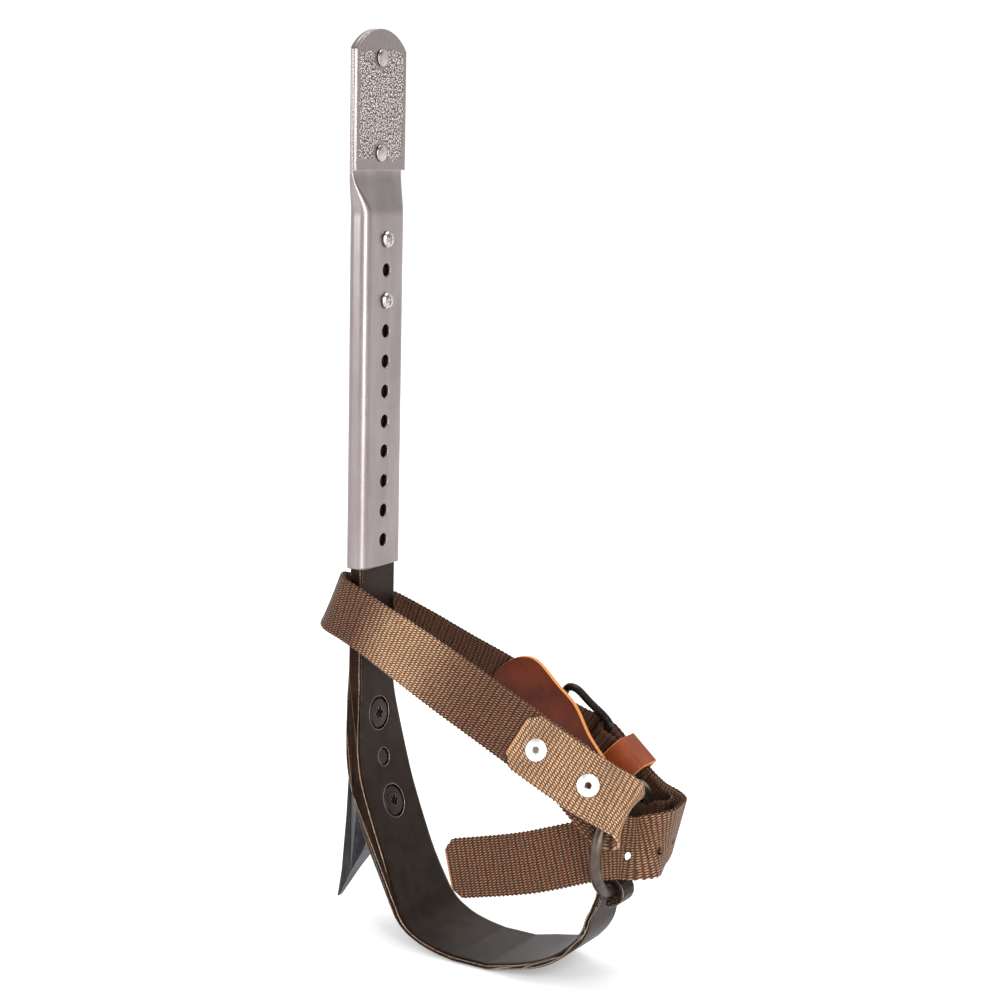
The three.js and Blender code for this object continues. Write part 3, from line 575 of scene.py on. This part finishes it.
def strap_points(route, u, v, half, seed):
    """Upper and lower points, with ribs on the faces and loops along both edges."""
    total = route.length[-1]
    rows = route.at(u)
    inset = np.clip((half - np.abs(v)) / ROUND, 0, 1)
    thick = WEB_THICK / 2 * (0.22 + 0.78 * np.sqrt(1 - (1 - inset) ** 2))
    phase = 2 * np.pi * u / WEAVE_U
    loops = np.where(inset < 0.05, 1.0, 0.0)
    reach = v + np.sign(v) * loops * LOOP * np.cos(phase)
    sway = loops * LOOP_SWAY * np.sin(phase)
    rib = RIB * np.cos(phase) * np.clip(inset * 2, 0, 1)
    rng = np.random.default_rng(seed)
    slow = np.interp(u, np.linspace(0, total, 60), rng.normal(0, SLACK, 60))
    lift = rows[:, 9] * (v / WEB_HALF) ** 2 + slow
    base = rows[:, :3] + rows[:, 3:6] * reach[:, None]
    normal = rows[:, 6:9]
    upper = base + normal * (lift + sway + thick - 0.02 - rib)[:, None]
    lower = base + normal * (lift + sway - thick + 0.02 + rib)[:, None]
    return np.vstack([upper, lower])


def add_attribute(mesh, name, kind, key, values):
    data = mesh.attributes.new(name, kind, "POINT")
    data.data.foreach_set(key, np.asarray(values, np.float32).ravel())


def strap_mesh(name, route, holes, tone_and_light_marks, clips=(0.0, 0.0), seed=1):
    """Woven strap with punched holes, cut corners and a tone that changes along it and carries
    painted highlight and shade.
    """
    total = route.length[-1]
    grid_u, grid_v, narrow, kept = strap_grid(total, holes, clips)
    u, v = grid_u.ravel(), grid_v.ravel()
    points = strap_points(route, u, v, WEB_HALF - narrow.ravel(), seed)
    tone_and_light = np.interp(u, *np.array(tone_and_light_marks, float).T)
    strap = np.stack([u, v, tone_and_light], -1)
    cut = np.clip(1 - np.minimum(u, total - u) / FRAY, 0, 1) * (max(clips) > 0)
    mesh = bpy.data.meshes.new(name)
    faces = strap_faces(np.arange(len(u)).reshape(grid_u.shape), kept)
    mesh.from_pydata((points * MM).tolist(), [], faces)
    add_attribute(mesh, "strap", "FLOAT_VECTOR", "vector", np.vstack([strap, strap]))
    add_attribute(mesh, "cut", "FLOAT", "value", np.tile(cut, 2))
    return add_piece(name, mesh)


def add_piece(name, mesh):
    """Puts a cleaned smooth mesh into the scene."""
    mesh.validate()
    mesh.shade_smooth()
    work = bmesh.new()
    work.from_mesh(mesh)
    loose = [v for v in work.verts if not v.link_faces]
    bmesh.ops.delete(work, geom=loose, context="VERTS")
    bmesh.ops.recalc_face_normals(work, faces=work.faces)
    work.to_mesh(mesh)
    work.free()
    piece = bpy.data.objects.new(name, mesh)
    bpy.context.scene.collection.objects.link(piece)
    return piece


# ---- leather pad and keeper ----

PAD_OUTLINE = [                     # x and z of the pad's edge before it is turned and moved
    (-18, 104), (-13.7, 112.5), (-7.4, 118.8), (-.9, 122.3), (7.1, 122.6), (19.8, 112.9),
    (27.8, 106.5), (35.1, 95), (40.6, 88.7), (48.7, 80.5), (54.5, 68.7), (54.9, 58), (50, 52.5),
    (42, 52), (32, 58.5), (20, 68.5), (4, 81), (-11, 92.5),
]
PAD_EDGE = [(0.4, 0.08, 0.0), (0.12, 0.28, 0.6), (0, 0.55, 1.0)]    # inset, drop and rawness
PAD_RIM = 0.9                       # how far inside its edge each face stops being flat
PAD_WAIST = 0.05                    # how far the middle of the cut edge is drawn in
PAD_BOW = (-0.3, 0.5)               # offset at its ends, and how far its middle bows from there
PAD_LOW, PAD_HIGH = 52, 122         # heights that the bow starts and stops at
PAD_THICK = 2.4
PAD_TURN = math.radians(-5.5)       # about the vertical
PAD_SHIFT = (-2, 16)                # along x and y


def evenly(line, count):
    """Points at equal steps along a line, leaving out its end."""
    length = np.concatenate([[0], np.cumsum(np.linalg.norm(np.diff(line, axis=0), axis=1))])
    at = np.linspace(0, length[-1], count, endpoint=False)
    return np.stack([np.interp(at, length, c) for c in line.T], -1)


def closed_outline(points, count):
    """Points round a smooth closed curve through the points of an outline."""
    ring = np.array(points + points[:3], float)
    ring = np.vstack([ring[-4:-3], ring])
    knots = np.linalg.norm(np.diff(ring, axis=0), axis=1) ** 0.5
    steps = 20
    rows = through(ring, knots, steps)[steps:steps + steps * len(points)]
    return evenly(rows, count)


def loft(name, rings, cap=True):
    """Quads between equal rings of (points, raw); the ends close on their middles if cap."""
    count = len(rings[0][0])
    points = [p for ring, _ in rings for p in ring]
    raw = [r for ring, r in rings for _ in ring]
    faces = []
    turns = len(rings) - 1 if cap else len(rings)
    for k in range(turns):
        a, b = k * count, (k + 1) % len(rings) * count
        for i in range(count):
            j = (i + 1) % count
            faces.append((a + i, a + j, b + j, b + i))
    if cap:
        for k in (0, len(rings) - 1):
            points.append(np.mean(rings[k][0], axis=0))
            raw.append(rings[k][1])
            for i in range(count):
                faces.append((k * count + i, k * count + (i + 1) % count, len(points) - 1))
    mesh = bpy.data.meshes.new(name)
    mesh.from_pydata((np.array(points) * MM).tolist(), [], faces)
    add_attribute(mesh, "raw", "FLOAT", "value", raw)
    return add_piece(name, mesh)


def inward_of(outline):
    """Unit directions, in an outline's own plane, towards its inside."""
    tangent = np.roll(outline, -1, axis=0) - np.roll(outline, 1, axis=0)
    inward = unit(np.stack([-tangent[:, 1], tangent[:, 0]], -1))
    if ((outline.mean(axis=0) - outline) * inward).sum() < 0:
        inward = -inward
    return inward


def leather_pad():
    """Bowed sheet: rings from the middle of one face, over the cut edge, to the other."""
    outline = closed_outline(PAD_OUTLINE, 220)
    inward = inward_of(outline)
    middle = outline.mean(axis=0)
    half = PAD_THICK / 2
    rim = outline + inward * PAD_RIM
    shares = (.15, .35, .55, .75, .9, 1)
    front = [(middle + (rim - middle) * share, half, 0.0) for share in shares]
    front += [(outline + inward * inset, half - drop, raw) for inset, drop, raw in PAD_EDGE]
    waist = [(outline + inward * PAD_WAIST, 0.0, 1.0)]
    back = [(ring, -depth, raw) for ring, depth, raw in reversed(front)]
    cos, sin = math.cos(PAD_TURN), math.sin(PAD_TURN)
    turn = np.array([[cos, -sin], [sin, cos]])
    start, swell = PAD_BOW
    rings = []
    for ring, depth, raw in front + waist + back:
        bow = swell * np.sin((ring[:, 1] - PAD_LOW) / (PAD_HIGH - PAD_LOW) * math.pi)
        flat = np.stack([ring[:, 0], bow + start + np.full(len(ring), depth)], -1) @ turn.T
        x, y = (flat + PAD_SHIFT).T
        rings.append((np.stack([x, y, ring[:, 1]], -1), raw))
    return loft("leather_pad_piece", rings)


KEEPER_AT = (38.8, 27, 76.6)        # its middle, in millimetres
KEEPER_ALONG = (0.75, 0, -0.6614)
KEEPER_ACROSS = (0.6614, 0, 0.75)
KEEPER_HALF = 7.6                   # half its length along the strap
KEEPER_OUTER = (6.8, -5.6, -10.2, 15.3)     # flat side, spring of the arch, crown, half width
KEEPER_INNER = (5.1, -5.6, -8.5, 13.6)
KEEPER_CORNER = 2                   # radius of its flat side's corners


def bezier(a, b, c, d, t):
    """Cubic curve from a to d, pulled towards b and c."""
    t = t[:, None]
    return (1 - t) ** 3 * a + 3 * t * (1 - t) ** 2 * b + 3 * t ** 2 * (1 - t) * c + t ** 3 * d


def arched_section(flat, spring, arch, half, count=120):
    """Closed outline: a flat side with round corners, and an arch facing the boot."""
    t = np.linspace(0, 1, 24)
    turn = np.linspace(0, math.pi / 2, 7)[:, None]
    r = KEEPER_CORNER
    corner = np.array([flat - r, half - r]) + r * np.hstack([np.cos(turn), np.sin(turn)])
    rise = ((spring, half), (spring - 2.2, half), (arch, 0.62 * half), (arch, 0))
    upper = np.vstack([[flat, 0], corner, bezier(*np.array(rise, float), t)])
    lower = (upper * (1, -1))[::-1]
    return evenly(np.vstack([upper, lower[1:]]), count)


def strap_keeper():
    """Loop with cut ends: sections along the outside, then back along the inside.

    Each step is a share of the half length, a pull towards the other surface, and rawness.
    """
    outer, inner = arched_section(*KEEPER_OUTER), arched_section(*KEEPER_INNER)
    ends = [(-1, .14, 1), (-.985, .03, .9), (-.94, 0, 0)]
    middle = [(share, 0, 0) for share in (-.7, -.45, -.2, 0, .2, .45, .7)]
    steps = ends + middle + [(-share, pull, raw) for share, pull, raw in reversed(ends)]
    sections = [(outer + (inner - outer) * pull, share, raw) for share, pull, raw in steps]
    sections += [(inner + (outer - inner) * pull, share, raw)
                 for share, pull, raw in reversed(steps)]
    rings = []
    for ring, share, raw in sections:
        centre = np.array(KEEPER_AT) + np.array(KEEPER_ALONG) * share * KEEPER_HALF
        out, across = np.outer(ring[:, 0], (0, 1, 0)), np.outer(ring[:, 1], KEEPER_ACROSS)
        rings.append((centre + out + across, raw))
    return loft("strap_keeper_piece", rings, cap=False)


# ---- assembly of the looks ----

HOLE_PITCH = 12.7
EYELET_HOLE = 2.0
EYELET_LAYERS = ((0, 40), (52, 110))        # the two stretches that each eyelet passes through
TONGUE_ENDS = ((19.6, 24.9, 91.0), (33, 30.1, 81.5))    # of the slot under the tongue
TONGUE_STRETCH = (250, 420)         # the stretch of the strap that this slot is in
TONGUE_RADIUS = 2.2
TAIL_FIRST = (62.3, -5.0, 56.7)     # the punched hole nearest the free end
TAIL_STRETCH = 160                  # the tail's holes are this near the free end
TAIL_HOLES = (1.65, 1.65, 1.3, 1.6, 1.6)    # radii, from the free end towards the keeper
TAIL_HOLE_V = -3.2                  # how far the row lies off the strap's middle
STRAP_CLIPS = (4.5, 4.0)            # how much is cut off the corners of each end
HEEL_ENDS = ((32.6, 27.6, 81.8), (32.6, 23.0, 81.8))    # of the slot at the heel bar
HEEL_RADIUS = 2.8
# The tone is pale on the fold's leaf, rises at 158 to 206 into a painted highlight where the near
# run bends round the shank, and falls from 250 to 410 into painted shade along the far run.
LONG_STRAP_TONE_AND_LIGHT = [                # millimetres along the strap and the tone there
    (0, 1), (60, 1), (68, .1), (140, .1), (158, .3), (178, .9), (190, .8), (206, .1),
    (250, -.1), (300, -.5), (380, -.5), (410, .3), (465, .35), (490, .12), (545, .12),
]
# the buckle strap is dark all along it: painted shade
SHORT_STRAP_PAINTED_SHADE = [(0, -.5), (1, -.5)]


def dress(material, *names):
    """Gives a material to CAD nodes that stay."""
    for name in names:
        for slot in nodes[name].material_slots:
            slot.material = material


def finish_piece(piece, body, slot, material, *stands_for):
    """Colours a new piece and puts it in place of the CAD nodes that it stands for."""
    piece.data.materials.append(material)
    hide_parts(*stands_for)
    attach(piece, body)


def slot_between(start, end, v, radius):
    """Round-ended hole from one place along a strap to another."""
    return (start + end) / 2, v, (end - start) / 2 - radius, radius


def long_strap(material):
    """The foot strap, from the fold round the ring to its free end, as one piece."""
    route = Route(RING_FOLD + NEAR_RUN + SHANK_WRAP + FAR_RUN + FREE_END)
    total = route.length[-1]
    holes = []
    for name in ("fold_eyelet_left", "fold_eyelet_right"):
        low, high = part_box(name)
        middle = (low + high) / 2 / MM
        for layer in EYELET_LAYERS:
            u, v = route.nearest(middle, *layer)
            holes.append((u, v, 0, EYELET_HOLE))
    start, v = route.nearest(TONGUE_ENDS[0], *TONGUE_STRETCH)
    end, _ = route.nearest(TONGUE_ENDS[1], *TONGUE_STRETCH)
    holes.append(slot_between(start, end, v, TONGUE_RADIUS))
    first, _ = route.nearest(TAIL_FIRST, total - TAIL_STRETCH, total)
    for k, radius in enumerate(TAIL_HOLES):
        holes.append((first - HOLE_PITCH * k, TAIL_HOLE_V, 0, radius))
    piece = strap_mesh("foot_strap_webbing", route, holes, LONG_STRAP_TONE_AND_LIGHT, STRAP_CLIPS)
    finish_piece(piece, "foot_strap", "webbing", material, "foot_strap_near_run",
                 "foot_strap_ring_fold", "foot_strap_shank_wrap", "foot_strap_far_run",
                 "foot_strap_free_end")


def short_strap(material):
    """The strap that holds the buckle, folded round the ring and the heel bar."""
    route = Route(BUCKLE_STRAP)
    start, _ = route.nearest(HEEL_ENDS[0])
    end, _ = route.nearest(HEEL_ENDS[1], start + 5)
    slot = slot_between(start, end, 0, HEEL_RADIUS)
    piece = strap_mesh("buckle_strap_webbing", route, [slot], SHORT_STRAP_PAINTED_SHADE, seed=2)
    finish_piece(piece, "foot_strap", "webbing", material, "buckle_strap")


# ---- studio ----

BACKDROP = (-0.52, 0.85, 0.0)       # from the object to the white end of the studio
DIM_SKY = 0.28                      # strength of the surround away from its white parts
FLOOR_REACH = 8.0                   # half of the floor's side, in metres
FLOOR_GAP = 0.0002                  # how far the floor lies below the object, in metres


def graded(tree, value, low, high, dark, light):
    """Strength from dark to light as value goes from low to high."""
    level = tree.nodes.new("ShaderNodeMapRange")
    level.interpolation_type = "SMOOTHSTEP"
    ends = {"From Min": low, "From Max": high, "To Min": dark, "To Max": light}
    for key, end in ends.items():
        level.inputs[key].default_value = end
    tree.links.new(value, level.inputs["Value"])
    return level.outputs[0]


def surround():
    """Soft light, white behind the object and along the horizon, dimmer elsewhere."""
    world = bpy.data.worlds.new("studio")
    world.use_nodes = True
    tree = world.node_tree
    aim = tree.nodes.new("ShaderNodeTexCoord").outputs["Generated"]
    facing = tree.nodes.new("ShaderNodeVectorMath")
    facing.operation = "DOT_PRODUCT"
    facing.inputs[1].default_value = BACKDROP
    tree.links.new(aim, facing.inputs[0])
    split = tree.nodes.new("ShaderNodeSeparateXYZ")
    tree.links.new(aim, split.inputs[0])
    brightest = tree.nodes.new("ShaderNodeMath")
    brightest.operation = "MAXIMUM"
    behind = graded(tree, facing.outputs["Value"], -0.1, 0.75, DIM_SKY, 1.05)
    horizon = graded(tree, split.outputs["Z"], 0.3, 0.08, DIM_SKY, 0.9)
    tree.links.new(behind, brightest.inputs[0])
    tree.links.new(horizon, brightest.inputs[1])
    back = tree.nodes["Background"]
    back.inputs["Color"].default_value = (1, 1, 1, 1)
    tree.links.new(brightest.outputs[0], back.inputs["Strength"])
    return world


def floor_paint():
    """Pale paint that glows with distance, so that the floor meets the white surround."""
    paint = Surface("pale_floor", Roughness=0.9, Specular_IOR_Level=0.1)
    paint.shader.inputs["Emission Color"].default_value = (1, 1, 1, 1)
    grain = paint.noise(paint.place(), 0.02, 2.0)
    tint = paint.mix(grain, (.92, .92, .92, 1), (.96, .96, .96, 1))
    at = paint.node("TexCoord", out="Object")
    far = paint.node("VectorMath", {0: at, 1: BACKDROP}, out="Value", operation="DOT_PRODUCT")
    away = paint.node("VectorMath", {0: at}, out="Value", operation="LENGTH")
    glow = paint.math("MAXIMUM", paint.span(far, -0.2, 1.6, 0.25, 0.95),
                      paint.span(away, 2.5, 6.0, 0.25, 0.9))
    return paint.set(Base_Color=tint, Emission_Strength=glow)


def studio():
    """White surround and pale floor."""
    scene = bpy.context.scene
    scene.view_settings.view_transform = "Standard"
    scene.world = surround()
    mesh = bpy.data.meshes.new("floor")
    reach = FLOOR_REACH
    corners = [(-reach, -reach, 0), (reach, -reach, 0), (reach, reach, 0), (-reach, reach, 0)]
    mesh.from_pydata(corners, [], [(0, 1, 2, 3)])
    mesh.materials.append(floor_paint())
    floor = bpy.data.objects.new("floor", mesh)
    floor.location.z = cad_box[0].z - FLOOR_GAP
    scene.collection.objects.link(floor)


def lamp(name, place, aim, size, power):
    """Area light at a place, turned towards aim, with sizes in metres and power in watts."""
    data = bpy.data.lights.new(name, "AREA")
    data.shape = "RECTANGLE"
    data.size, data.size_y = size
    data.energy = power
    light = bpy.data.objects.new(name, data)
    light.location = place
    light.rotation_mode = "QUATERNION"
    light.rotation_quaternion = (Vector(aim) - Vector(place)).to_track_quat("-Z", "Y")
    bpy.context.scene.collection.objects.link(light)


make_camera()
studio()
middle = (cad_box[0] + cad_box[1]) / 2
lamp("key", (0.85, -0.8, 0.55), middle, (0.34, 1.1), 13)
lamp("side", (-0.6, -0.95, 0.55), middle, (0.4, 0.5), 5)
lamp("top", (0.05, 0.15, 1.2), middle, (0.7, 0.7), 6)

nickel = plated_steel("plated_nickel", rgb(236, 234, 230), rgb(248, 247, 245), 0.4)
bright = plated_steel("bright_zinc", rgb(172, 164, 162), rgb(204, 198, 195), 0.18)
dress(satin_aluminium(), "sleeve")
dress(stamped_plate(), "size_plate")
dress(forged_steel(), "shank_stirrup")
dress(ground_steel(), "gaff")
dress(dark_steel(), "gaff_screw_upper", "gaff_screw_lower", "gaff_locating_pin",
      "height_screw_stem_upper", "height_screw_stem_lower", "buckle_frame", "buckle_roller",
      "buckle_tongue")
dress(bright, "height_screw_upper", "height_screw_lower", "plate_rivet_lower",
      "plate_rivet_upper")
dress(nickel, "fold_eyelet_left", "fold_eyelet_right")
dress(ring_steel(), "strap_ring")

web = woven_webbing()
long_strap(web)
short_strap(web)
leather = waxed_leather("waxed_leather", rgb(72, 24, 9), rgb(106, 42, 18))
worn_leather = waxed_leather("worn_leather", rgb(128, 56, 26), rgb(162, 80, 42))
finish_piece(leather_pad(), "foot_strap", "leather", leather, "leather_pad")
finish_piece(strap_keeper(), "keeper", "leather", worn_leather, "strap_keeper")
